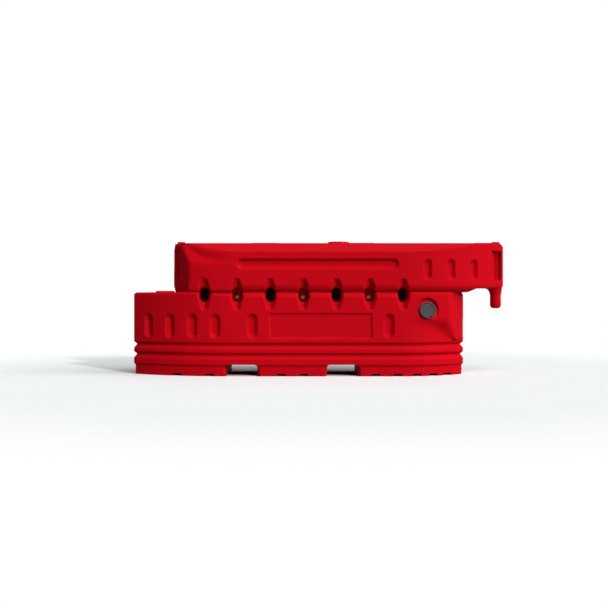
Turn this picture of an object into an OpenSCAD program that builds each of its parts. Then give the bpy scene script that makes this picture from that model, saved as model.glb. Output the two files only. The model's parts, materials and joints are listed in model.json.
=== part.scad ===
// Two-tier water-filled barrier unit for closing off a road or a footway.
// A base block stands on the floor and a staggered top block is bolted to it through a row of seam notches.
// Lengths in mm. X runs along the wall, the front faces -Y, Z is up, the floor is Z = 0.

/* [Blocks] */
// Length of each block, nose to nose
block_length = 2000; // [1960:5:2080]
// Width of both blocks
block_width = 450; // [430:5:480]
// Height of the base block
base_height = 495; // [480:5:530]
// Height of the top block
top_height = 293; // [285:1:330]
// How far the top block is shifted along the base block
stagger = 245; // [240:1:252]
// Thickness of the moulded walls
wall = 7; // [5:0.5:8]

/* [Plan curves] */
// Radius of the long sweep towards the pointed end
long_arc = 1100; // [1000:10:1200]
// Radius of the short sweep towards the blunt end
short_arc = 520; // [480:10:560]
// Radius of the flatter sweep of the end pad beside the seam
pad_arc = 1200; // [1100:10:1400]
// Half width of the flat nose at the pointed end
nose_half = 28; // [26:1:34]
// Distance of the pad corner from the blunt end
pad_corner = 111; // [106:1:120]
// Half width of the pad at the blunt end
pad_end_half = 40; // [36:1:50]
// Depth of the pad, from the seam to the ledge at its corner
pad_drop = 177; // [165:1:185]

/* [Base profile] */
// Height of the set-back skirt
skirt_height = 56; // [50:1:60]
// Set-back of the skirt
skirt_inset = 9; // [6:1:11]
// Height of the middle of the lower groove
low_groove_z = 122; // [118:1:124]
// Height of the middle of the upper groove
high_groove_z = 182; // [180:1:186]
// Depth of both grooves
groove_depth = 18; // [14:1:19]
// Rounding of the top edge at the ends
edge_round = 18; // [14:1:22]
// Rounding of the top edge along the row of notches
seam_round = 45; // [40:1:48]

/* [Top profile] */
// Rounding of the rolled edge at the seam
roll_round = 45; // [42:1:47]
// Height of the sloped band below the top face
bevel_height = 57; // [50:1:62]
// Depth of the sloped band
bevel_depth = 100; // [85:1:110]
// Height of the round bosses on the top face
boss_height = 14; // [10:1:18]

/* [Seam notches] */
// Distance between two notches
notch_pitch = 195; // [192:1:198]
// Shift of the middle notch from the middle of the unit
notch_shift = -92; // [-96:1:-88]
// Radius of the inner hole of a notch
notch_radius = 29; // [28:0.5:31]
// Half width of the scooped mouth in the base, at the seam
base_mouth = 52; // [48:1:56]
// Half width of the scooped mouth in the top, at the seam
top_mouth = 47; // [44:1:51]
// Depth of the scoop in the base, below the seam
base_scoop = 109; // [104:1:114]
// Height of the scoop in the top, above the seam
top_scoop = 80; // [77:1:84]
// How far the floor of a scoop runs in from the face
scoop_run = 88; // [80:1:90]
// Radius of the tip of a scoop
scoop_tip = 25; // [22:1:27]
// Slope of the lips of a scoop, in degrees from straight in
lip_angle = 37; // [32:1:42]

/* [Bolted lugs] */
// Distance of the bolts below the seam
bolt_drop = 30; // [29:0.5:32]
// Free space round each lug
lug_gap = 5; // [3:0.5:6]
// Distance of the outer lug face from the middle plane
lug_reach = 135; // [130:1:136]
// Thickness of a lug
lug_depth = 60; // [56:1:62]
// Free space between lug and web
lug_web_gap = 2; // [1:0.5:3]
// Thickness of a web
web_depth = 33; // [30:1:34]
// Diameter of the bolt shanks
bolt_size = 16; // [14:0.5:16]
// Radial clearance of the bolt holes
bolt_clearance = 0.5; // [0.3:0.1:1]
// Diameter of the domed bolt heads
head_size = 28; // [26:0.5:30]

/* [Fork pockets] */
// Width of each fork pocket
pocket_width = 185; // [170:1:190]
// Height of each fork pocket
pocket_height = 68; // [64:1:72]
// Distance between the two pockets
pocket_spacing = 593; // [585:1:600]

/* [Link peg and socket] */
// Diameter of the peg that hangs from the top block
peg_size = 66; // [60:1:66]
// Length of the peg below the seam
peg_length = 97; // [90:1:100]
// Diameter of the sockets
socket_size = 70; // [70:0.5:76]
// Distance of peg and end bosses from the nose
peg_inset = 40.5; // [40:0.5:44]

/* [Filler cap and drain plug] */
// Diameter of the filler cap
cap_size = 99; // [92:1:100]
// Diameter of the filler opening
filler_bore = 71; // [66:1:72]
// Diameter of the drain plug
plug_size = 32; // [30:1:34]
// Diameter of the drain opening
drain_bore = 20; // [16:1:20]
// Radial running clearance of both screw plugs
plug_clearance = 0.1; // [0.1:0.05:0.3]
// Slack between a seal and the head that turns on it
seal_slack = 0.05; // [0.02:0.01:0.2]

/* [Hidden] */

$fn = 96;
far = 2000;
lead = 20;
half_width = block_width / 2;
half_length = block_length / 2;
peg_radius = peg_size / 2;
socket_radius = socket_size / 2;

// Places along the wall
base_x = -stagger / 2;
top_x = stagger / 2;
base_notches = [for (k = [-3:3]) notch_shift + notch_pitch * k - base_x];
top_notches = [for (k = [-3:3]) top_x - notch_shift - notch_pitch * k];
pocket_middle = -35;
socket_x = -half_length + 186;
peg_x = -half_length + peg_inset;
sign_x = 132;
sign_length = 606;
sign_height = 150;
sign_depth = 8;
panel_z = 295 - base_height;
foot_notches = [-721, -521, -100, 31, 456, 584, 698, 797, 888];

// Plan of a block: straight middle, a swept curve to each end, a narrow flat nose
function sweep_start(arc, nose) = half_length - sqrt(arc * arc - pow(arc - half_width + nose, 2));
function sag(arc, u) = arc - sqrt(arc * arc - u * u);
function face_sag(x) = x < -long_start ? sag(long_arc, -x - long_start)
    : x > short_start ? sag(pad_arc, x - short_start) : 0;
long_start = sweep_start(long_arc, nose_half);
short_start = sweep_start(short_arc, pad_end_half - 2);

// Half width of the low plate at the pointed end, kept on the top face
function plate_half(x) = min(75, half_width - face_sag(x) - 8);

// End pad beside the seam
pad_x = half_length - pad_corner;
pad_half = half_width - face_sag(pad_x);
pad_angle = atan2(pad_half - pad_end_half, pad_corner);

// Lugs, webs and bolts
lug_half = notch_radius - lug_gap;
lug_inner = lug_reach - lug_depth;
web_outer = lug_inner - lug_web_gap;
web_inner = web_outer - web_depth;
grip = lug_reach - web_inner;
bolt_z = base_height - bolt_drop;
bolt_radius = bolt_size / 2;
washer_radius = bolt_radius + 7;
washer_thick = 3;
nut_flats = bolt_size * 1.5;
nut_height = bolt_size - 1;
arch_radius = notch_radius - 1;

// Filler cap, tilted up in its recess
filler_x = 759;
filler_drop = 108;
filler_tilt = 10;
filler_turn = 9;
filler_sunk = 10;
recess_half = cap_size / 2 + 15;
neck_radius = filler_bore / 2 + 4.5;
neck_flange = cap_size / 2 - 4;
neck_thick = 4;
neck_depth = 34;
neck_clearance = 0.3;
seal_thick = 2.5;
cap_thick = 11;
cap_rim = 3;
spigot_length = 26;

// Drain plug, low on the rear of the middle foot
drain_x = -35;
drain_z = 32;
drain_neck_radius = drain_bore / 2 + 3;
drain_flange = plug_size / 2 + 1;
drain_thick = 2;
drain_depth = 18;
drain_seal_thick = 1.5;
plug_thick = 6;
drain_spigot = 14;

red = [0.72, 0.05, 0.09];
grey = [0.3, 0.3, 0.3];
black = [0.1, 0.1, 0.1];
zinc = [0.6, 0.58, 0.42];

// Repeats a feature of the front face on the rear face
module both_faces() {
    children();
    mirror([0, 1, 0]) children();
}

// Turns a section so that it runs along X
module along_x(from, to) {
    translate([from, 0, 0])
        rotate([90, 0, 90])
            linear_extrude(to - from) children();
}

// Turns a section in X and Z so that it runs along Y
module along_y(from, to) {
    translate([0, to, 0])
        rotate([90, 0, 0])
            linear_extrude(to - from) children();
}

// Corner that is left over outside a rounded edge
module corner(radius, round_to) {
    difference() {
        square(radius + 1);
        circle(round_to);
    }
}

// Section of a rim set out at a radius and kept off the axis
module rim(radius) {
    intersection() {
        translate([radius, 0]) children();
        translate([0, -far]) square([radius + 1, 2 * far]);
    }
}

// End of a block pointing to +X; the side runs on across its flat nose
module swept_end(arc, start) {
    intersection() {
        translate([start, -half_width - 1, -far / 2])
            cube([half_length - start + 1, block_width + 2, far]);
        along_y(-half_width - 1, half_width + 1)
            translate([half_length, 0]) children();
        translate([start, arc - half_width, 0]) rotate_extrude() rim(arc) children();
        translate([start, half_width - arc, 0]) rotate_extrude() rim(arc) children();
    }
}

// Whole block swept along its plan, the seam at Z = 0 and the body below it
module swept_block() {
    along_x(-long_start, short_start) {
        rim(half_width) children();
        mirror([1, 0]) rim(half_width) children();
    }
    swept_end(short_arc, short_start) children();
    mirror([1, 0, 0]) swept_end(long_arc, long_start) children();
}

// Side of a base block: skirt, two grooves and a rounded top edge
module base_side(inset, edge) {
    low = low_groove_z - base_height;
    high = high_groove_z - base_height;
    above = groove_depth * 0.88 + inset * 0.45;
    below = groove_depth * 1.22 + inset * 0.45;
    deep = groove_depth + inset * 1.4;
    skirt = skirt_height - base_height;
    difference() {
        polygon([
            [-far, -base_height + inset],
            [-skirt_inset - inset, -base_height + inset],
            [-skirt_inset - inset, skirt],
            [-inset, skirt + skirt_inset + 1],
            [-inset, low - below],
            [-deep, low],
            [-inset, low + above],
            [-inset, high - below],
            [-deep, high],
            [-inset, high + above],
            [-inset, -inset],
            [-far, -inset]
        ]);
        translate([-inset - edge, -inset - edge]) corner(edge, edge);
    }
}

// Side of a top block: plain, with a rolled edge at the seam
module top_side(inset, edge) {
    difference() {
        translate([-far, -top_height + inset]) square([far - inset, top_height - 2 * inset]);
        translate([-inset - edge, -inset - edge]) corner(edge, edge);
    }
}

// Half width of the slanting facet at the corner of the pad
function facet_half(x) = pad_half - (x - pad_x) * tan(pad_angle);

// Fuller pad beside the seam at the blunt end: a sloped ledge under it, a slanting facet at its corner
module end_pad(inset, edge) {
    start = short_start;
    end = half_length - inset;
    flat_x = pad_x - inset * sin(pad_angle);
    flat_half = pad_half - inset * cos(pad_angle);
    end_half = flat_half - (end - flat_x) * tan(pad_angle);
    wide = half_width + 20;
    wide_x = flat_x - (wide - flat_half) / tan(pad_angle);
    intersection() {
        translate([0, 0, -285])
            linear_extrude(285)
                polygon([
                    [start, -wide], [wide_x, -wide], [end, -end_half],
                    [end, end_half], [wide_x, wide], [start, wide]
                ]);
        along_y(-wide - 1, wide + 1)
            polygon([
                [start - 1, 1], [end - 12, 1], [end - 12, 0],
                [end, -40], [end, -300], [start - 1, -300]
            ]);
        above_ledge(inset);
        mirror([0, 1, 0]) above_ledge(inset);
        translate([start, pad_arc - half_width, 0]) rotate_extrude() rim(pad_arc) pad_side(inset, edge);
        translate([start, half_width - pad_arc, 0]) rotate_extrude() rim(pad_arc) pad_side(inset, edge);
    }
}

module pad_side(inset, edge) {
    difference() {
        translate([-far, -300]) square([far - inset, 300 - inset]);
        translate([-inset - edge, -inset - edge]) corner(edge, edge);
    }
}

// Everything above the ledge of the pad on one face; the ledge runs down beside the facet
module above_ledge(inset) {
    translate([pad_x, -pad_half, inset - pad_drop])
        rotate([-58, -13, 0])
            translate([-far / 2, -far / 2, 0]) cube(far);
    translate([pad_x + inset, 0, inset / 2 - pad_drop])
        along_y(-far / 2, far / 2)
            polygon([[0, far], [0, 0], [far, -0.9 * far], [far, far]]);
}

// Round-ended slot with sloping walls, cut towards +Y, grown all round for the wall behind it
module slot(wide, tall, deep, draft, grow) {
    lean = draft / deep;
    mouth = wide / 2 + grow + lean * lead;
    bottom = wide / 2 + grow - lean * (deep + grow);
    rise = (tall - wide) / 2;
    for (side = [-1, 1])
        translate([0, -lead, side * rise])
            rotate([-90, 0, 0]) cylinder(h = lead + deep + grow, r1 = mouth, r2 = bottom);
    translate([0, 0, -rise])
        linear_extrude(2 * rise)
            polygon([[-mouth, -lead], [mouth, -lead], [bottom, deep + grow], [-bottom, deep + grow]]);
}

// Puts a slot square on the long swept curve, at a distance from the middle of the block
module on_long_arc(x, z) {
    translate([-long_start, long_arc - half_width, z])
        rotate([0, 0, -asin((x - long_start) / long_arc)])
            translate([0, -long_arc, 0]) children();
}

// Scooped mouth of a notch in the front face: a sloping floor with a round tip between two leaning lips
module scoop(x, drop, mouth_half, hole_drop, hole_radius, grow) {
    run = scoop_run + 50;
    tilt = atan2(drop - hole_drop - hole_radius, scoop_run);
    rise = drop - scoop_tip;
    lean = atan2(mouth_half - scoop_tip, rise);
    floor_half = mouth_half + 30 + grow;
    translate([x, -half_width + face_sag(x), 0])
        intersection() {
            translate([0, 0, (scoop_tip + 3) / cos(tilt) - drop])
                rotate([tilt, 0, 0])
                    along_y(-2 * lead, 2 * run) {
                        circle(scoop_tip + 3 + grow);
                        polygon([
                            [-scoop_tip - 2.5 - grow, 0], [scoop_tip + 2.5 + grow, 0],
                            [floor_half, drop + 60], [-floor_half, drop + 60]
                        ]);
                    }
            for_lip(drop, lean, grow);
            mirror([1, 0, 0]) for_lip(drop, lean, grow);
        }
}

// Everything on the near side of one leaning lip of a scoop
module for_lip(drop, lean, grow) {
    translate([scoop_tip, 0, scoop_tip - drop])
        rotate([0, lean, 0])
            rotate([0, 0, lip_angle])
                translate([grow - far, -far / 2, -far / 2]) cube(far);
}

// Hole of a notch, a U open to the seam with flared corners near both faces
module notch_hole(x, drop, radius, flare, grow) {
    translate([x, 0, 0]) {
        along_y(-half_width - 1, half_width + 1) {
            translate([0, -drop]) circle(radius + grow);
            translate([-radius - grow, -drop]) square([2 * (radius + grow), drop + lead]);
        }
        if (grow == 0)
            both_faces()
                along_y(-half_width - 1, -lug_reach - 10)
                    for (side = [0, 1])
                        mirror([side, 0])
                            difference() {
                                translate([0, -flare]) square([radius + flare, flare + 1]);
                                translate([radius + flare, -flare]) circle(flare);
                            }
    }
}

// Plate that carries one bolt, round at the bolt end
module bolt_plate(radius, height, from, to) {
    along_y(from, to) {
        translate([0, -bolt_drop]) circle(radius);
        translate([-radius, -bolt_drop]) square([2 * radius, bolt_drop + height]);
    }
}

// Lug that hangs from the arch of a notch: as wide as the arch above the seam, slim below it
module lug(from, to) {
    bolt_plate(lug_half, arch_radius + wall - 1, from, to);
    along_y(from, to)
        difference() {
            circle(arch_radius + wall - 1);
            translate([-far, lug_web_gap - far]) square([2 * far, far]);
        }
}

// Even notches are bolted near the front face, odd ones near the rear face
function is_front(k) = k % 2 == 1;
function head_y(k) = is_front(k) ? -lug_reach : web_inner;

// Base block with its pad and rounded seam edge
module base_form(inset, edge) {
    swept_block() base_side(inset, edge);
    end_pad(inset, edge);
}

// Every hollow in the outside of the base block; grow adds the wall behind it
module base_hollows(grow) {
    both_faces() {
        for (k = [0:3])
            on_long_arc(488.5 + 137.5 * k, panel_z) slot(65, 146, 24, 20, grow);
        for (x = [-270, 532])
            translate([x, -half_width, panel_z]) slot(65, 146, 24, 20, grow);
        translate([sign_x, 0, panel_z]) sign_recess(grow);
        for (x = base_notches)
            scoop(x, base_scoop, base_mouth, bolt_drop, notch_radius, grow);
    }
    for (x = base_notches)
        notch_hole(x, bolt_drop, notch_radius, 16, grow);
    for (side = [-1, 1])
        translate([pocket_middle + side * pocket_spacing / 2, 0, -base_height]) fork_pocket(grow);
    for (x = foot_notches)
        translate([x - 26 - grow, -half_width - 1, -base_height - 1])
            cube([52 + 2 * grow, block_width + 2, 13 + grow]);
    filler_place() filler_recess(grow);
}

// Rounded land between the first and the last notch
module land_round() {
    both_faces()
        along_x(base_notches[0], base_notches[6])
            translate([-half_width + seam_round, -seam_round])
                mirror([1, 0]) corner(seam_round, seam_round + 2);
}

// Bare sign recess with sloping edges
module sign_recess(grow) {
    deep = sign_depth + grow;
    flare = 0.8 * lead;
    close = 0.8 * deep;
    long = sign_length / 2 + grow;
    high = sign_height / 2 + grow;
    intersection() {
        translate([0, 0, -far / 2])
            linear_extrude(far)
                polygon([
                    [-long - flare, -half_width - lead], [long + flare, -half_width - lead],
                    [long - close, deep - half_width], [close - long, deep - half_width]
                ]);
        along_x(-far / 2, far / 2)
            polygon([
                [-half_width - lead, -high - flare], [-half_width - lead, high + flare],
                [deep - half_width, high - close], [deep - half_width, close - high]
            ]);
    }
}

// Tunnel for one fork, with rounded top corners and a flared mouth at both faces
module fork_pocket(grow) {
    half = pocket_width / 2 + grow;
    top = pocket_height + grow;
    round_to = 18 + grow;
    along_y(-half_width - 1, half_width + 1) {
        translate([-half, -1]) square([2 * half, top - round_to + 1]);
        translate([-half + round_to, 0]) square([2 * (half - round_to), top]);
        for (side = [-1, 1])
            translate([side * (half - round_to), top - round_to]) circle(round_to);
    }
    both_faces()
        translate([0, 0, -1])
            linear_extrude(top - round_to + 1)
                polygon([
                    [-half - 24, -half_width - 1], [half + 24, -half_width - 1],
                    [half, -half_width + 23], [-half, -half_width + 23]
                ]);
}

// Frame of the filler: floor of its recess at Z = 0, outwards is +Z
module filler_place() {
    translate([filler_x, -half_width + face_sag(filler_x), -filler_drop])
        rotate([90 - filler_tilt, 0, filler_turn])
            translate([0, 0, -filler_sunk]) children();
}

// Arched recess, deep at its top and running out at its foot
module filler_recess(grow) {
    translate([0, 7, -grow]) cylinder(h = 70, r = recess_half + grow);
    translate([-recess_half - grow, -75, -grow]) cube([2 * (recess_half + grow), 82, 70]);
}

// Frame of the drain: rear face of the skirt at Z = 0, outwards is +Z
module drain_place() {
    translate([drain_x, half_width - skirt_inset, drain_z - base_height])
        rotate([-90, 0, 0]) children();
}

module base_place() {
    translate([base_x, 0, base_height]) children();
}

// Hollow base block with bolt webs, link socket, fork pockets, filler and drain openings
module base_shell() {
    color(red)
        base_place()
            difference() {
                union() {
                    difference() {
                        base_form(0, edge_round);
                        base_hollows(0);
                        land_round();
                        difference() {
                            base_form(wall, seam_round - wall);
                            base_hollows(wall);
                            translate([socket_x, 0, -106 - wall]) cylinder(h = 200, r = socket_radius + wall);
                        }
                    }
                    for (k = [0:6])
                        translate([base_notches[k], 0, 0])
                            bolt_plate(notch_radius + 3, 0,
                                is_front(k) ? -web_outer : web_inner,
                                is_front(k) ? -web_inner : web_outer);
                    translate([socket_x, 0, -1]) cylinder(h = 10, r = socket_radius + 21);
                }
                for (k = [0:6])
                    translate([base_notches[k], 0, -bolt_drop])
                        rotate([90, 0, 0])
                            cylinder(h = 2 * web_outer + 2, r = bolt_radius + bolt_clearance, center = true);
                translate([socket_x, 0, -106]) cylinder(h = 120, r = socket_radius);
                filler_place()
                    translate([0, 0, -neck_depth - 1])
                        cylinder(h = neck_depth + 2, r = neck_radius + neck_clearance);
                drain_place()
                    translate([0, 0, -drain_depth - 1])
                        cylinder(h = drain_depth + 3, r = drain_neck_radius + neck_clearance);
            }
}

// Frame of the top block: the block is built upside down, seam at Z = 0
module top_place() {
    translate([top_x, 0, base_height]) rotate([0, 180, 0]) children();
}

// Top block with its pad, sloped bands along the top and a raised underside at the pointed end
module top_form(inset, edge, pad_edge) {
    difference() {
        union() {
            swept_block() top_side(inset, edge);
            end_pad(inset, pad_edge);
        }
        both_faces()
            along_x(-half_length - 1, half_length + 1)
                polygon([
                    [-half_width - 1, bevel_height - top_height + 1 + inset * 1.2],
                    [-half_width + bevel_depth + 2 + inset * 2, -top_height - 1],
                    [-half_width - 1, -top_height - 1]
                ]);
        along_y(-half_width - 1, half_width + 1) {
            translate([-half_length, -top_height])
                polygon([[-1, -1], [16 + 1.3 * inset, -1], [-1, 19 + 1.6 * inset]]);
            translate([half_length, -top_height])
                polygon([[1, -1], [-8 - 1.1 * inset, -1], [1, 45 + 5.2 * inset]]);
            polygon([
                [-half_length + 232 + inset, 1], [-half_length + 232 + inset, -inset],
                [-half_length + 171 + inset, -25 - inset],
                [-half_length - 1, -25 - inset], [-half_length - 1, 1]
            ]);
        }
    }
}

// Every hollow in the outside of the top block
module top_hollows(grow) {
    both_faces() {
        translate([130, -half_width, -164]) rotate([0, 90, 0]) slot(64, 951, 20, 16, grow);
        for (k = [0:2])
            on_long_arc(515.5 + 143.75 * k, -133) slot(50, 121, 20, 14, grow);
        for (x = top_notches)
            scoop(x, top_scoop, top_mouth, 0, arch_radius, grow);
    }
    for (x = top_notches)
        notch_hole(x, 0, arch_radius, 12, grow);
}

// Hand hold at the pointed end: on each face a recess with a slanting flank, a web left between them
module hand_hold() {
    both_faces()
        translate([-half_length + 14, 0, -249])
            linear_extrude(175)
                polygon([[0, -half_width], [0, -12], [34, -12], [124, -174], [124, -half_width]]);
}

// Shallow recess in the facet at the blunt end, on each face
module facet_recess() {
    tip = half_length - 10.5;
    back = tip - 36;
    both_faces()
        translate([0, 0, -249])
            linear_extrude(175)
                polygon([
                    [back, -half_width], [back, 22 - facet_half(back)],
                    [tip, 22 - facet_half(tip)], [tip, -half_width]
                ]);
}

// Plastic left solid round the recesses at both ends
module solid_ends() {
    for (side = [-1, 1])
        translate([side * (half_length + 1), 0, -161.5])
            cube([2 * (side < 0 ? 96 : 55), block_width + 2, 175 + 2 * wall], center = true);
}

// Upright post to hold on to, in the hand hold at the pointed end
module grip_post() {
    translate([-half_length + 31, 0, -250]) cylinder(h = 177, r = 18);
}

// Peg with a rounded end, blended into the raised underside
module link_peg() {
    blend = 37;
    translate([peg_x, 0, 0]) {
        rotate_extrude() {
            translate([0, -26]) square([peg_radius, 26 + peg_length - 20]);
            polygon([
                [0, -26], [peg_radius + 6, -26], [peg_radius + 6, blend - 31],
                [peg_radius, blend - 25], [0, blend - 25]
            ]);
            square([peg_radius - 20, peg_length]);
            translate([peg_radius - 20, peg_length - 20])
                intersection() {
                    circle(20);
                    square(20);
                }
        }
        intersection() {
            rotate_extrude()
                difference() {
                    translate([1, -26]) square([peg_radius + blend - 1, blend + 1]);
                    translate([peg_radius + blend, blend - 25]) circle(blend);
                }
            translate([0, -38, -30]) cube([90, 76, 60]);
        }
    }
}

// Low plate on the top face at the pointed end, narrowed with the nose
module end_plate() {
    long = 160;
    tip = -half_length + 20;
    shoulder = tip + 60;
    translate([0, 0, -top_height - 5])
        linear_extrude(6)
            polygon([
                [tip, -plate_half(tip)], [shoulder, -plate_half(shoulder)],
                [tip + long, -plate_half(tip + long)], [tip + long, plate_half(tip + long)],
                [shoulder, plate_half(shoulder)], [tip, plate_half(tip)]
            ]);
}

// Hollow top block with lugs, link peg, hand holds, socket and bosses
module top_shell() {
    color(red)
        top_place()
            difference() {
                union() {
                    difference() {
                        union() {
                            difference() {
                                top_form(0, roll_round, edge_round);
                                top_hollows(0);
                                hand_hold();
                                facet_recess();
                            }
                            grip_post();
                            link_peg();
                        }
                        difference() {
                            top_form(wall, roll_round - wall, roll_round - wall);
                            top_hollows(wall);
                            solid_ends();
                            translate([0, 0, -top_height - 1]) cylinder(h = 131, r = socket_radius + wall);
                        }
                        translate([peg_x, 0, -60])
                            cylinder(h = 60 + peg_length - 24, r = peg_radius - wall);
                    }
                    for (k = [0:6])
                        translate([top_notches[k], 0, 0])
                            rotate([0, 180, 0])
                                lug(is_front(k) ? -lug_reach : lug_inner,
                                    is_front(k) ? -lug_inner : lug_reach);
                    for (side = [-1, 1])
                        translate([side * (half_length - peg_inset), 0, -top_height - boss_height])
                            cylinder(h = boss_height + 1, r = 24);
                    translate([0, 0, -top_height - boss_height])
                        cylinder(h = boss_height + 1, r = socket_radius + 29);
                    for (x = [443, -136])
                        translate([x - 80, -75, -top_height - 5]) cube([160, 150, 6]);
                    end_plate();
                }
                for (k = [0:6])
                    translate([top_notches[k], 0, bolt_drop])
                        rotate([90, 0, 0])
                            cylinder(h = 2 * lug_reach + 2, r = bolt_radius + bolt_clearance, center = true);
                translate([0, 0, -top_height - boss_height - 1])
                    cylinder(h = 125 + boss_height, r = socket_radius);
            }
}

// Flanged tube with a plain bore, seated on a face at Z = 0
module neck(outer, bore, flange, thick, depth) {
    rotate_extrude()
        difference() {
            union() {
                translate([0, -depth]) square([outer, depth]);
                square([flange, thick]);
            }
            translate([0, -depth - 1]) square([bore, depth + thick + 2]);
        }
}

module flat_ring(outer, inner, from, thick) {
    translate([0, 0, from])
        difference() {
            cylinder(h = thick, r = outer);
            translate([0, 0, -1]) cylinder(h = thick + 2, r = inner);
        }
}

module filler_neck() {
    color(grey)
        base_place()
            filler_place() neck(neck_radius, filler_bore / 2, neck_flange, neck_thick, neck_depth);
}

module filler_seal() {
    color(black)
        base_place()
            filler_place() flat_ring(neck_flange, filler_bore / 2 + 0.5, neck_thick, seal_thick);
}

// Screw cap: flange with a raised rim and a finger notch, hollow spigot below
module filler_cap() {
    start = neck_thick + seal_thick + seal_slack;
    spigot = filler_bore / 2 - plug_clearance;
    color(grey)
        base_place()
            filler_place()
                difference() {
                    union() {
                        translate([0, 0, start]) cylinder(h = cap_thick - 2, r = cap_size / 2);
                        translate([0, 0, start + cap_thick - 2])
                            cylinder(h = 2, r1 = cap_size / 2, r2 = cap_size / 2 - 2);
                        translate([0, 0, start - spigot_length]) cylinder(h = spigot_length, r = spigot);
                    }
                    translate([0, 0, start + cap_thick - cap_rim])
                        cylinder(h = cap_rim + 1, r1 = cap_size / 2 - 9, r2 = cap_size / 2 - 7.5);
                    translate([0, 0, start - spigot_length - 1])
                        cylinder(h = spigot_length - 1, r = spigot - 5);
                    rotate([0, 0, -70])
                        translate([cap_size / 2 - 11, -5, start + 3])
                            cube([12, 10, cap_thick]);
                }
}

module drain_neck() {
    color(grey)
        base_place()
            drain_place() neck(drain_neck_radius, drain_bore / 2, drain_flange, drain_thick, drain_depth);
}

module drain_seal() {
    color(black)
        base_place()
            drain_place() flat_ring(plug_size / 2, drain_bore / 2 + 0.5, drain_thick, drain_seal_thick);
}

// Small screw plug with a bar to turn it by
module drain_plug() {
    start = drain_thick + drain_seal_thick + seal_slack;
    color(grey)
        base_place()
            drain_place() {
                translate([0, 0, start]) cylinder(h = plug_thick, r = plug_size / 2);
                translate([0, 0, start - drain_spigot])
                    cylinder(h = drain_spigot + 1, r = drain_bore / 2 - plug_clearance);
                translate([-plug_size / 2 + 4, -3, start + plug_thick - 1]) cube([plug_size - 8, 6, 7]);
            }
}

// Frame of one bolt: seat of its head at Z = 0, the shank runs to -Z
module bolt_place(k) {
    translate([notch_shift + notch_pitch * (k - 3), head_y(k), bolt_z])
        rotate([90, 0, 0]) children();
}

// Domed socket head bolt
module joint_bolt(k) {
    dome = 8;
    head = head_size / 2;
    ball = (head * head + dome * dome) / (2 * dome);
    shank = grip + washer_thick + nut_height + 4;
    color(zinc)
        bolt_place(k)
            difference() {
                union() {
                    translate([0, 0, -shank]) cylinder(h = shank, r = bolt_radius);
                    rotate_extrude()
                        intersection() {
                            translate([0, dome - ball]) circle(ball);
                            square([head, dome + 1]);
                        }
                }
                translate([0, 0, 3]) cylinder(h = dome, d = 11.5, $fn = 6);
            }
}

module joint_washer(k) {
    color(zinc)
        bolt_place(k) flat_ring(washer_radius, bolt_radius + 0.5, -grip - washer_thick, washer_thick);
}

module joint_nut(k) {
    color(zinc)
        bolt_place(k)
            translate([0, 0, -grip - washer_thick - nut_height])
                difference() {
                    cylinder(h = nut_height, d = nut_flats / cos(30), $fn = 6);
                    translate([0, 0, -1]) cylinder(h = nut_height + 2, r = bolt_radius);
                }
}

base_shell();
top_shell();
filler_neck();
filler_seal();
filler_cap();
drain_neck();
drain_seal();
drain_plug();
for (k = [1:7]) {
    joint_bolt(k - 1);
    joint_washer(k - 1);
    joint_nut(k - 1);
}
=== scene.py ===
import json
import math

import bmesh
import bpy
import numpy as np
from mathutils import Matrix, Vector


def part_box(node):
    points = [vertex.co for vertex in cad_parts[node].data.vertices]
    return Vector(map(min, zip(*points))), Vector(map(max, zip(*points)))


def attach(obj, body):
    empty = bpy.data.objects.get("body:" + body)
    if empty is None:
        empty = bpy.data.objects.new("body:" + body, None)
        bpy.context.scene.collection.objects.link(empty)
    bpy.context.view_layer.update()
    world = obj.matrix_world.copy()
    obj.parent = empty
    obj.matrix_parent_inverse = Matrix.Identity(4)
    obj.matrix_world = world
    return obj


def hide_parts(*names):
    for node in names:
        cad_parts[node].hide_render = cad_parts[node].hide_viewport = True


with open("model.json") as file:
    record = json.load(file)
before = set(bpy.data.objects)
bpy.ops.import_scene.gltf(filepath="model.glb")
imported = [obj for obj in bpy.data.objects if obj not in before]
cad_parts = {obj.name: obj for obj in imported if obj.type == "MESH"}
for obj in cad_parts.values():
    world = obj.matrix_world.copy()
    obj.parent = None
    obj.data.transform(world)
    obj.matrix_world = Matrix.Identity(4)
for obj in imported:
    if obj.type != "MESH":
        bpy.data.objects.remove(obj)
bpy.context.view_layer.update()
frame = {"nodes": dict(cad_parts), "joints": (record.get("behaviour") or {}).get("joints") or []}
scene = bpy.context.scene
scene.view_settings.view_transform = "Standard"

# Camera
LENS_MM = 50
SENSOR_MM = 36
CAMERA_PLACE = (-0.0885, -5.164, 0.424)

# Floor: half size, height, colour for the light it throws back, and the ring where it turns white
FLOOR_HALF = 30
FLOOR_HEIGHT = -0.0004
FLOOR_BOUNCE = (0.25, 0.25, 0.25)
SHADOW_REACH = 1.7
WHITE_FROM = 3.2

# Lamps: direction towards the lamp, strength and spread in degrees
LAMPS = {
    "key": ((0.539, -0.75, 0.383), 2.0, 4),
    "overhead": ((0.65, -0.25, 0.72), 1.0, 40),
    "front_top": ((0.1, -0.6, 0.79), 1.28, 40),
    "right_side": ((0.9, -0.2, 0.35), 0.98, 40),
    "behind": ((0.2, 0.6, 0.77), 0.32, 40),
}

# Remeshing of the mouldings: edge lengths, smoothing passes and most triangles
JOIN_DISTANCE = 0.00002
SMOOTH_FACTOR = 0.5
BLOCK_GRAIN = 0.0033
BLOCK_PASSES = 2
BLOCK_LIMIT = 195000
FILLER_GRAIN = 0.0011
FILLER_SEAL_GRAIN = 0.0008
DRAIN_GRAIN = 0.0007
DRAIN_SEAL_GRAIN = 0.0005
CAP_PASSES = 3
SMALL_PASSES = 2
SMALL_LIMIT = 40000

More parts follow.
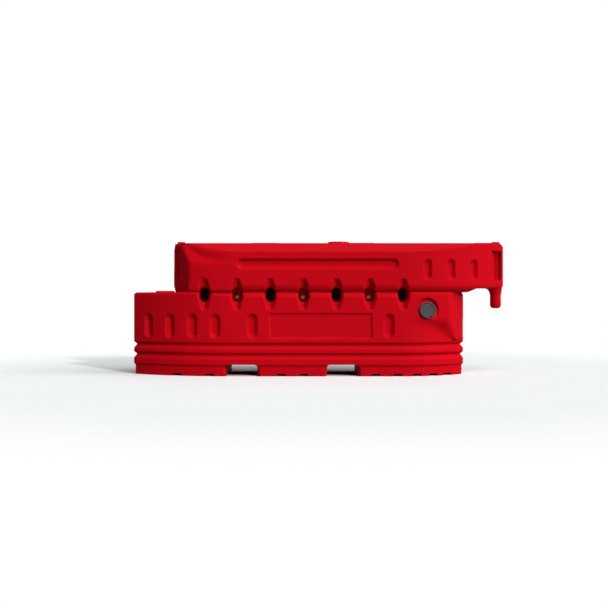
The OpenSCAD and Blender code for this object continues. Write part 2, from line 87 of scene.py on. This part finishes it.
# Softer places of the blocks: low corner, high corner and fade of a box; those on both faces leave out Y
FACES = (-0.23, 0.23)
FACE_DEPTH = 0.2
FILLER_LEDGE = ((0.5, 0.225), (0.89, 0.34), 0.03)
TOP_LEDGE = ((-0.9, 0.63), (-0.55, 0.785), 0.02)
BLUNT_END = ((-0.865, 0.515), (-0.66, 0.762), 0.03)
PEG_ROOT = ((1.02, -0.06, 0.46), (1.14, 0.06, 0.53), 0.008)

# Smoothing passes in those places, and steps of their fade
FILLER_LEDGE_PASSES = 300
TOP_EASE_PASSES = 120
EASE_LEVELS = 20

# Seats of the necks in the base: half depth, clearance, start of the neck below its joint, slack of a face
BORE_REACH = 0.03
NECK_CLEARANCE = 0.0003
NECK_START = -0.012
BORE_SLACK = 0.0008

# Seam fasteners: count, and sizes of a bolt, washer and nut
FASTENERS = 7
SHARP_DEGREES = 35
SHANK = 0.008
TIP_CHAMFER = 0.0014
THREAD_LENGTH = 0.042
THREAD_PITCH = 0.002
THREAD_DEPTH = 0.0011
DOME = 0.008
DOME_RADII = (0.0128, 0.0112, 0.0096, 0.008, 0.0066)
SOCKET_POINT = 0.0056
SOCKET_FLATS = 0.0049
SOCKET_FLOOR = 0.003
WASHER_PLAY = 0.0005
WASHER_ROUND = 0.0006
WASHER_BURR = 0.0003
NUT_CHAMFER = 0.0014
NUT_MOUTH = 0.0012


# Shader building

class Wire:
    """One output of a node. Sums and products of wires add Math nodes to the same tree."""

    def __init__(self, paint, socket):
        self.paint = paint
        self.socket = socket

    def _join(self, operation, first, second):
        return self.paint.node("ShaderNodeMath", {"operation": operation}, {0: first, 1: second})

    def __add__(self, other):
        return self._join("ADD", self, other)

    def __radd__(self, other):
        return self._join("ADD", other, self)

    def __mul__(self, other):
        return self._join("MULTIPLY", self, other)

    def __rmul__(self, other):
        return self._join("MULTIPLY", other, self)


class Paint:
    """A node tree of a material or the world, filled by code."""

    def __init__(self, owner):
        owner.use_nodes = True
        self.owner = owner
        self.tree = owner.node_tree
        self.tree.nodes.clear()

    def node(self, kind, settings=None, inputs=None, output=0):
        made = self.tree.nodes.new(kind)
        for key, value in (settings or {}).items():
            if key == "stops":
                ramp = made.color_ramp.elements
                for spare in range(len(value) - len(ramp)):
                    ramp.new(0.5)
                for stop, (place, grey) in zip(ramp, value):
                    stop.position = place
                    stop.color = (grey, grey, grey, 1)
            else:
                setattr(made, key, value)
        for key, value in (inputs or {}).items():
            if isinstance(value, Wire):
                self.tree.links.new(value.socket, made.inputs[key])
            else:
                made.inputs[key].default_value = value
        if len(made.outputs) == 0:
            return made
        return Wire(self, made.outputs[output])

    def place(self):
        return self.node("ShaderNodeTexCoord", output="Object")

    def noise(self, place, scale, detail=2.0, roughness=0.5):
        return self.node("ShaderNodeTexNoise", None, {
            "Vector": place, "Scale": scale, "Detail": detail, "Roughness": roughness})

    def steps(self, value, stops):
        return self.node("ShaderNodeValToRGB", {"stops": stops}, {"Fac": value})

    def between(self, amount, low, high):
        return self.node("ShaderNodeMix", {"data_type": "RGBA"}, {
            0: amount, 6: (*low, 1) if isinstance(low, tuple) else low,
            7: (*high, 1) if isinstance(high, tuple) else high}, output=2)

    def bump(self, height, distance, strength=1.0):
        return self.node("ShaderNodeBump", None, {
            "Height": height, "Distance": distance, "Strength": strength})

    def surface(self, inputs):
        shader = self.node("ShaderNodeBsdfPrincipled", None, inputs)
        self.node("ShaderNodeOutputMaterial", None, {"Surface": shader})
        return self.owner


def new_paint(name):
    return Paint(bpy.data.materials.new(name))


# Finishes

def red_moulded_plastic():
    """Satin rotomoulded skin: faint clouds of colour, pressed powder grain, fine orange peel."""
    paint = new_paint("red_moulded_plastic")
    place = paint.place()
    cloud = paint.noise(place, 3.5, 3)
    grain = paint.noise(place, 420, 2)
    peel = paint.noise(place, 130, 2, 0.4)
    colour = paint.between(
        cloud * 0.7 + grain * 0.3, (0.479, 0.002, 0.0073), (0.519, 0.0029, 0.0093))
    return paint.surface({
        "Base Color": colour,
        "Roughness": 0.42 + cloud * 0.08 + grain * 0.1,
        "Specular IOR Level": 0.01,
        "Normal": paint.bump(peel * 0.7 + grain * 0.3, 0.0006, 0.25),
    })


def grey_cap_plastic():
    """Injection-moulded grey with an even spark-eroded grain."""
    paint = new_paint("grey_cap_plastic")
    place = paint.place()
    grain = paint.noise(place, 1400, 2)
    cloud = paint.noise(place, 30, 2)
    colour = paint.between(cloud, (0.046, 0.046, 0.046), (0.055, 0.055, 0.055))
    return paint.surface({
        "Base Color": colour,
        "Roughness": 0.45 + grain * 0.15,
        "Specular IOR Level": 0.06,
        "Normal": paint.bump(grain, 0.0002, 0.3),
    })


def dark_neck_plastic():
    """Harder, smoother insert moulded into the wall."""
    paint = new_paint("dark_neck_plastic")
    place = paint.place()
    cloud = paint.noise(place, 45, 3)
    colour = paint.between(cloud, (0.036, 0.036, 0.037), (0.05, 0.05, 0.051))
    return paint.surface({
        "Base Color": colour,
        "Roughness": 0.32 + cloud * 0.12,
        "Specular IOR Level": 0.4,
        "Normal": paint.bump(cloud, 0.0002, 0.2),
    })


def black_seal_rubber():
    paint = new_paint("black_seal_rubber")
    place = paint.place()
    bloom = paint.noise(place, 90, 4, 0.6)
    colour = paint.between(bloom, (0.011, 0.011, 0.011), (0.022, 0.022, 0.022))
    return paint.surface({
        "Base Color": colour,
        "Roughness": 0.6 + bloom * 0.25,
        "Specular IOR Level": 0.3,
        "Normal": paint.bump(bloom, 0.0002, 0.3),
    })


def yellow_zinc_plate():
    """Yellow passivated zinc: metallic, drifting between straw and green."""
    paint = new_paint("yellow_zinc_plate")
    place = paint.place()
    drift = paint.noise(place, 60, 3)
    speck = paint.noise(place, 900, 2)
    patches = paint.steps(drift, [(0.35, 0), (0.65, 1)])
    colour = paint.between(patches, (0.36, 0.345, 0.15), (0.33, 0.36, 0.165))
    return paint.surface({
        "Base Color": colour,
        "Metallic": 0.35,
        "Roughness": 0.5 + speck * 0.16,
        "Specular IOR Level": 0.15,
        "Normal": paint.bump(speck, 0.0001, 0.25),
    })


# Stage

def add_camera():
    """Level camera square on to the front face."""
    lens = bpy.data.cameras.new("camera")
    lens.lens = LENS_MM
    lens.sensor_width = SENSOR_MM
    holder = bpy.data.objects.new("camera", lens)
    holder.location = CAMERA_PLACE
    holder.rotation_euler = (math.radians(90), 0, 0)
    scene.collection.objects.link(holder)
    scene.camera = holder


def looked_at(paint):
    """1 for rays that come straight from the camera or by way of gloss or glass."""
    rays = [paint.node("ShaderNodeLightPath", output=name)
            for name in ("Is Camera Ray", "Is Glossy Ray", "Is Transmission Ray")]
    return paint.node("ShaderNodeClamp", None, {"Value": rays[0] + rays[1] + rays[2]})


def add_world():
    """White backdrop that is seen but gives no light."""
    world = bpy.data.worlds.new("studio")
    scene.world = world
    paint = Paint(world)
    light = paint.node("ShaderNodeBackground", None, {
        "Color": (1, 1, 1, 1), "Strength": looked_at(paint)})
    paint.node("ShaderNodeOutputWorld", None, {"Surface": light})


def add_lamp(name, towards, strength, spread):
    """Lamp far away in a direction, as soft as its spread is wide."""
    lamp = bpy.data.lights.new(name, "SUN")
    lamp.energy = strength
    lamp.angle = math.radians(spread)
    holder = bpy.data.objects.new(name, lamp)
    holder.rotation_euler = Vector(towards).to_track_quat("Z", "Y").to_euler()
    scene.collection.objects.link(holder)


def add_floor():
    """Pale floor with the shadow near the unit, plain white farther out; it throws little light back."""
    paint = new_paint("studio_floor")
    place = paint.place()
    away = paint.node("ShaderNodeVectorMath", {"operation": "LENGTH"}, {0: place}, output="Value")
    clean = paint.node("ShaderNodeMapRange", {"interpolation_type": "SMOOTHSTEP"}, {
        "Value": away, "From Min": SHADOW_REACH, "From Max": WHITE_FROM})
    fleck = paint.noise(place, 60, 2)
    pale = paint.between(fleck, (0.88, 0.92, 0.92), (0.9, 0.94, 0.94))
    matt = paint.node("ShaderNodeBsdfDiffuse", None, {
        "Color": paint.between(looked_at(paint), FLOOR_BOUNCE, pale)})
    white = paint.node("ShaderNodeEmission", None, {"Color": (1, 1, 1, 1), "Strength": 1.0})
    both = paint.node("ShaderNodeMixShader", None, {0: clean * looked_at(paint), 1: matt, 2: white})
    paint.node("ShaderNodeOutputMaterial", None, {"Surface": both})
    mesh = bpy.data.meshes.new("floor")
    corners = [(-1, -1), (1, -1), (1, 1), (-1, 1)]
    places = [(FLOOR_HALF * x, FLOOR_HALF * y, FLOOR_HEIGHT) for x, y in corners]
    mesh.from_pydata(places, [], [(0, 1, 2, 3)])
    mesh.materials.append(paint.owner)
    floor = bpy.data.objects.new("floor", mesh)
    scene.collection.objects.link(floor)


# Mesh building

def shown(name, mesh):
    piece = bpy.data.objects.new(name, mesh)
    scene.collection.objects.link(piece)
    return piece


def worked_in(holder, name):
    """Plain piece with the holder's modifiers worked into its mesh; the holder goes."""
    bpy.context.view_layer.update()
    graph = bpy.context.evaluated_depsgraph_get()
    mesh = bpy.data.meshes.new_from_object(holder.evaluated_get(graph))
    old = holder.data
    bpy.data.objects.remove(holder)
    bpy.data.meshes.remove(old)
    mesh.name = name
    return shown(name, mesh)


def joined_copy(node):
    """The triangles of a solid with their corners joined."""
    solid = bmesh.new()
    solid.from_mesh(frame["nodes"][node].data)
    bmesh.ops.remove_doubles(solid, verts=solid.verts, dist=JOIN_DISTANCE)
    return solid


def in_bore(face, bore):
    """True for a face on the wall of a round opening through the skin."""
    foot, axis, radius, reach = bore
    for vert in face.verts:
        arm = vert.co - foot
        along = arm.dot(axis)
        if abs(along) > reach or abs((arm - axis * along).length - radius) > BORE_SLACK:
            return False
    return True


def outer_skin(solid, bores):
    """Closes the bores of a hollow moulding and keeps what still joins on to its outside."""
    walls = [face for face in solid.faces if any(in_bore(face, bore) for bore in bores)]
    bmesh.ops.delete(solid, geom=walls, context="FACES")
    start = max(solid.verts, key=lambda vert: vert.co.x)
    outside = {start}
    front = [start]
    while front:
        vert = front.pop()
        for edge in vert.link_edges:
            other = edge.other_vert(vert)
            if other not in outside:
                outside.add(other)
                front.append(other)
    bmesh.ops.delete(solid, geom=[vert for vert in solid.verts if vert not in outside], context="VERTS")
    bmesh.ops.holes_fill(solid, edges=[edge for edge in solid.edges if edge.is_boundary], sides=0)


def ease(piece, boxes, passes):
    """Smooths a moulding further inside some boxes, fading out towards their sides."""
    places = np.empty(3 * len(piece.data.vertices), dtype=np.float32)
    piece.data.vertices.foreach_get("co", places)
    places = places.reshape(-1, 3)
    share = np.zeros(len(places))
    for low, high, fade in boxes:
        inside = np.minimum(places - np.array(low), np.array(high) - places).min(axis=1)
        share = np.maximum(share, np.clip(inside / fade, 0, 1))
    group = piece.vertex_groups.new(name="eased")
    levels = np.round(share * EASE_LEVELS)
    for level in range(1, EASE_LEVELS + 1):
        group.add(np.flatnonzero(levels == level).tolist(), level / EASE_LEVELS, "REPLACE")
    smooth = piece.modifiers.new("ease", "SMOOTH")
    smooth.factor = SMOOTH_FACTOR
    smooth.iterations = passes
    smooth.vertex_group = "eased"
    return worked_in(piece, piece.name)


def softened(name, solid, grain, passes, limit, finish, eased=()):
    """Moulded form of a solid: its edges rounded by remeshing at a grain and smoothing."""
    mesh = bpy.data.meshes.new(name)
    solid.to_mesh(mesh)
    solid.free()
    holder = shown(name + "_raw", mesh)
    remesh = holder.modifiers.new("grain", "REMESH")
    remesh.mode = "VOXEL"
    remesh.voxel_size = grain
    smooth = holder.modifiers.new("round", "SMOOTH")
    smooth.factor = SMOOTH_FACTOR
    smooth.iterations = passes
    piece = worked_in(holder, name)
    for boxes, more in eased:
        piece = ease(piece, boxes, more)
    count = 2 * len(piece.data.polygons)
    if count > limit:
        thin = piece.modifiers.new("thin", "DECIMATE")
        thin.ratio = limit / count
        piece = worked_in(piece, name)
    piece.data.materials.clear()
    piece.data.materials.append(finish)
    piece.data.polygons.foreach_set("use_smooth", [True] * len(piece.data.polygons))
    piece.data.update()
    return piece


def turned(name, rings, finish, closed=False, count=36):
    """Lathe form. A ring is (height, radius, flats), where flats is the half width of a cutting hexagon."""
    form = bmesh.new()
    loops = []
    for height, radius, flats in rings:
        loop = []
        for step in range(count):
            angle = 2 * math.pi * step / count
            reach = radius
            if flats:
                fold = (angle % (math.pi / 3)) - math.pi / 6
                reach = min(radius, flats / math.cos(fold))
            loop.append(form.verts.new((reach * math.cos(angle), reach * math.sin(angle), height)))
        loops.append(loop)
    pairs = list(zip(loops, loops[1:]))
    if closed:
        pairs.append((loops[-1], loops[0]))
    else:
        form.faces.new(loops[0])
        form.faces.new(loops[-1])
    for low, high in pairs:
        for step in range(count):
            after = (step + 1) % count
            form.faces.new((low[step], low[after], high[after], high[step]))
    bmesh.ops.recalc_face_normals(form, faces=form.faces)
    mesh = bpy.data.meshes.new(name)
    form.to_mesh(mesh)
    form.free()
    mesh.materials.append(finish)
    mesh.polygons.foreach_set("use_smooth", [True] * len(mesh.polygons))
    mesh.set_sharp_from_angle(angle=math.radians(SHARP_DEGREES))
    return shown(name, mesh)


# Blocks

def bore_of(node, joint):
    """Round opening in the skin round a neck: a point on its axis, the axis, its radius and half depth."""
    turn = [entry for entry in frame["joints"] if entry["name"] == joint][0]
    axis = Vector(turn["axis"]).normalized()
    foot = Vector(turn["pos_m"])
    outer = 0
    for vert in frame["nodes"][node].data.vertices:
        arm = vert.co - foot
        along = arm.dot(axis)
        if along < NECK_START:
            outer = max(outer, (arm - axis * along).length)
    return foot, axis, outer + NECK_CLEARANCE, BORE_REACH


def on_both_faces(place):
    """Boxes at a place on the front and on the rear face."""
    (low_x, low_z), (high_x, high_z), fade = place
    return [
        ((low_x, face - FACE_DEPTH, low_z), (high_x, face + FACE_DEPTH, high_z), fade)
        for face in FACES]


def add_block(node, name, bores, eased, finish):
    solid = joined_copy(node)
    outer_skin(solid, bores)
    block = softened(name, solid, BLOCK_GRAIN, BLOCK_PASSES, BLOCK_LIMIT, finish, eased)
    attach(block, "barrier")
    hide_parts(node)


def add_blocks(finish):
    bores = [bore_of("filler_neck", "filler_cap_turn"), bore_of("drain_neck", "drain_plug_turn")]
    base_eased = [(on_both_faces(FILLER_LEDGE), FILLER_LEDGE_PASSES)]
    add_block("base_shell", "base_block", bores, base_eased, finish)
    top_boxes = [*on_both_faces(TOP_LEDGE), *on_both_faces(BLUNT_END), PEG_ROOT]
    add_block("top_shell", "top_block", [], [(top_boxes, TOP_EASE_PASSES)], finish)


# Small moulded pieces

def add_small(node, name, body, finish, grain, passes):
    piece = softened(name, joined_copy(node), grain, passes, SMALL_LIMIT, finish)
    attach(piece, body)
    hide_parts(node)


# Seam fasteners

def fastener_row_tree():
    """Repeats one fastener along the seam; every other one is stepped towards the front face."""
    tree = bpy.data.node_groups.new("fastener_row", "GeometryNodeTree")
    face = tree.interface
    face.new_socket("Geometry", in_out="INPUT", socket_type="NodeSocketGeometry")
    face.new_socket("Fastener", in_out="INPUT", socket_type="NodeSocketObject")
    face.new_socket("Count", in_out="INPUT", socket_type="NodeSocketInt")
    face.new_socket("First", in_out="INPUT", socket_type="NodeSocketVector")
    face.new_socket("Pitch", in_out="INPUT", socket_type="NodeSocketVector")
    face.new_socket("Step", in_out="INPUT", socket_type="NodeSocketVector")
    face.new_socket("Finish", in_out="INPUT", socket_type="NodeSocketMaterial")
    face.new_socket("Geometry", in_out="OUTPUT", socket_type="NodeSocketGeometry")
    new = tree.nodes.new
    link = tree.links.new
    given = new("NodeGroupInput")
    line = new("GeometryNodeMeshLine")
    link(given.outputs["Count"], line.inputs["Count"])
    link(given.outputs["First"], line.inputs["Start Location"])
    link(given.outputs["Pitch"], line.inputs["Offset"])
    number = new("GeometryNodeInputIndex")
    odd = new("ShaderNodeMath")
    odd.operation = "MODULO"
    link(number.outputs[0], odd.inputs[0])
    odd.inputs[1].default_value = 2
    shift = new("ShaderNodeVectorMath")
    shift.operation = "SCALE"
    link(given.outputs["Step"], shift.inputs[0])
    link(odd.outputs[0], shift.inputs["Scale"])
    stagger = new("GeometryNodeSetPosition")
    link(line.outputs[0], stagger.inputs["Geometry"])
    link(shift.outputs[0], stagger.inputs["Offset"])
    part = new("GeometryNodeObjectInfo")
    link(given.outputs["Fastener"], part.inputs["Object"])
    part.inputs["As Instance"].default_value = True
    row = new("GeometryNodeInstanceOnPoints")
    link(stagger.outputs[0], row.inputs["Points"])
    link(part.outputs["Geometry"], row.inputs["Instance"])
    row.inputs["Rotation"].default_value = (math.pi / 2, 0, 0)
    real = new("GeometryNodeRealizeInstances")
    link(row.outputs[0], real.inputs[0])
    coat = new("GeometryNodeSetMaterial")
    link(real.outputs[0], coat.inputs["Geometry"])
    link(given.outputs["Finish"], coat.inputs["Material"])
    out = new("NodeGroupOutput")
    link(coat.outputs[0], out.inputs[0])
    return tree


def add_fastener_row(tree, name, part, nodes, first, pitch, step, finish):
    holder = shown(name + "_raw", bpy.data.meshes.new(name + "_raw"))
    row = holder.modifiers.new("row", "NODES")
    row.node_group = tree
    values = {
        "Fastener": part, "Count": len(nodes), "First": first,
        "Pitch": pitch, "Step": step, "Finish": finish}
    for socket in tree.interface.items_tree:
        if socket.in_out == "INPUT" and socket.name in values:
            row[socket.identifier] = values[socket.name]
    piece = worked_in(holder, name)
    mesh = part.data
    bpy.data.objects.remove(part)
    bpy.data.meshes.remove(mesh)
    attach(piece, "barrier")
    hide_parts(*nodes)


def bolt_rings(length, head):
    """Rounded tip, thread, plain shank and a domed head with a hexagon socket; the seat is at height 0."""
    rings = [(-length, SHANK - TIP_CHAMFER, None), (-length + TIP_CHAMFER, SHANK, None)]
    height = -length + TIP_CHAMFER + 0.0002
    while height < -length + THREAD_LENGTH:
        rings.append((height, SHANK, None))
        rings.append((height + 0.0007, SHANK - THREAD_DEPTH, None))
        rings.append((height + 0.0013, SHANK, None))
        height += THREAD_PITCH
    rings += [(-0.0008, SHANK, None), (0, SHANK + 0.0006, None)]
    rings += [(0, head - 0.0006, None), (0.0005, head - 0.0001, None)]
    ball = (head * head + DOME * DOME) / (2 * DOME)
    for radius in DOME_RADII:
        rings.append((DOME - ball + math.sqrt(ball * ball - radius * radius), radius, None))
    rings.append((0.0064, SOCKET_POINT + 0.0002, SOCKET_FLATS + 0.0004))
    rings.append((0.0058, SOCKET_POINT, SOCKET_FLATS))
    rings.append((SOCKET_FLOOR, SOCKET_POINT, SOCKET_FLATS))
    rings.append((SOCKET_FLOOR - 0.0008, 0.001, None))
    return rings


def washer_rings(low, high, outer):
    """Stamped washer: rounded on one side, a small burr edge on the other."""
    inner = SHANK + WASHER_PLAY
    return [
        (low, inner, None), (low, outer - WASHER_ROUND, None), (low + WASHER_ROUND, outer, None),
        (high - WASHER_BURR, outer, None), (high, outer - WASHER_BURR, None), (high, inner, None)]


def nut_rings(low, high, flats):
    """Hexagon nut with both faces and both ends of its bore chamfered."""
    point = flats / math.cos(math.pi / 6)
    mouth = SHANK + NUT_MOUTH
    face = flats - 0.0004
    return [
        (low, mouth, None), (low, face, None), (low + NUT_CHAMFER, point, flats),
        (high - NUT_CHAMFER, point, flats), (high, face, None), (high, mouth, None),
        (high - NUT_MOUTH, SHANK, None), (low + NUT_MOUTH, SHANK, None)]


def add_fasteners(finish):
    """Bolts, washers and nuts, each drawn round the seat of its bolt head at height 0."""
    rear_low, rear_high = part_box("joint_bolt_1")
    front_low, front_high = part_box("joint_bolt_2")
    washer_low, washer_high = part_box("joint_washer_1")
    nut_low, nut_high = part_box("joint_nut_1")
    middle = (rear_low + rear_high) / 2
    seat = rear_low.y + DOME
    first = Vector((middle.x, seat, middle.z))
    pitch = Vector(((front_low + front_high).x / 2 - middle.x, 0, 0))
    step = Vector((0, front_low.y - rear_low.y, 0))
    length = rear_high.y - seat
    head = (rear_high.x - rear_low.x) / 2
    outer = (washer_high.x - washer_low.x) / 2
    flats = min(nut_high.z - nut_low.z, nut_high.x - nut_low.x) / 2
    washer = washer_rings(seat - washer_high.y, seat - washer_low.y, outer)
    nut = nut_rings(seat - nut_high.y, seat - nut_low.y, flats)
    parts = {
        "bolt": turned("bolt", bolt_rings(length, head), finish),
        "washer": turned("washer", washer, finish, closed=True),
        "nut": turned("nut", nut, finish, closed=True)}
    tree = fastener_row_tree()
    for kind, part in parts.items():
        nodes = [f"joint_{kind}_{number}" for number in range(1, FASTENERS + 1)]
        add_fastener_row(tree, f"seam_{kind}s", part, nodes, first, pitch, step, finish)


add_camera()
add_world()
for lamp_name, (towards, strength, spread) in LAMPS.items():
    add_lamp(lamp_name, towards, strength, spread)
add_floor()

red = red_moulded_plastic()
grey = grey_cap_plastic()
neck = dark_neck_plastic()
rubber = black_seal_rubber()
zinc = yellow_zinc_plate()

add_blocks(red)
add_small("filler_cap", "filler_cap_moulded", "filler_cap", grey, FILLER_GRAIN, CAP_PASSES)
add_small("filler_neck", "filler_neck_moulded", "barrier", neck, FILLER_GRAIN, SMALL_PASSES)
add_small(
    "filler_seal", "filler_seal_ring", "filler_lift", rubber, FILLER_SEAL_GRAIN, SMALL_PASSES)
add_small("drain_plug", "drain_plug_moulded", "drain_plug", grey, DRAIN_GRAIN, CAP_PASSES)
add_small("drain_neck", "drain_neck_moulded", "barrier", neck, DRAIN_GRAIN, SMALL_PASSES)
add_small(
    "drain_seal", "drain_seal_ring", "drain_lift", rubber, DRAIN_SEAL_GRAIN, SMALL_PASSES)
add_fasteners(zinc)
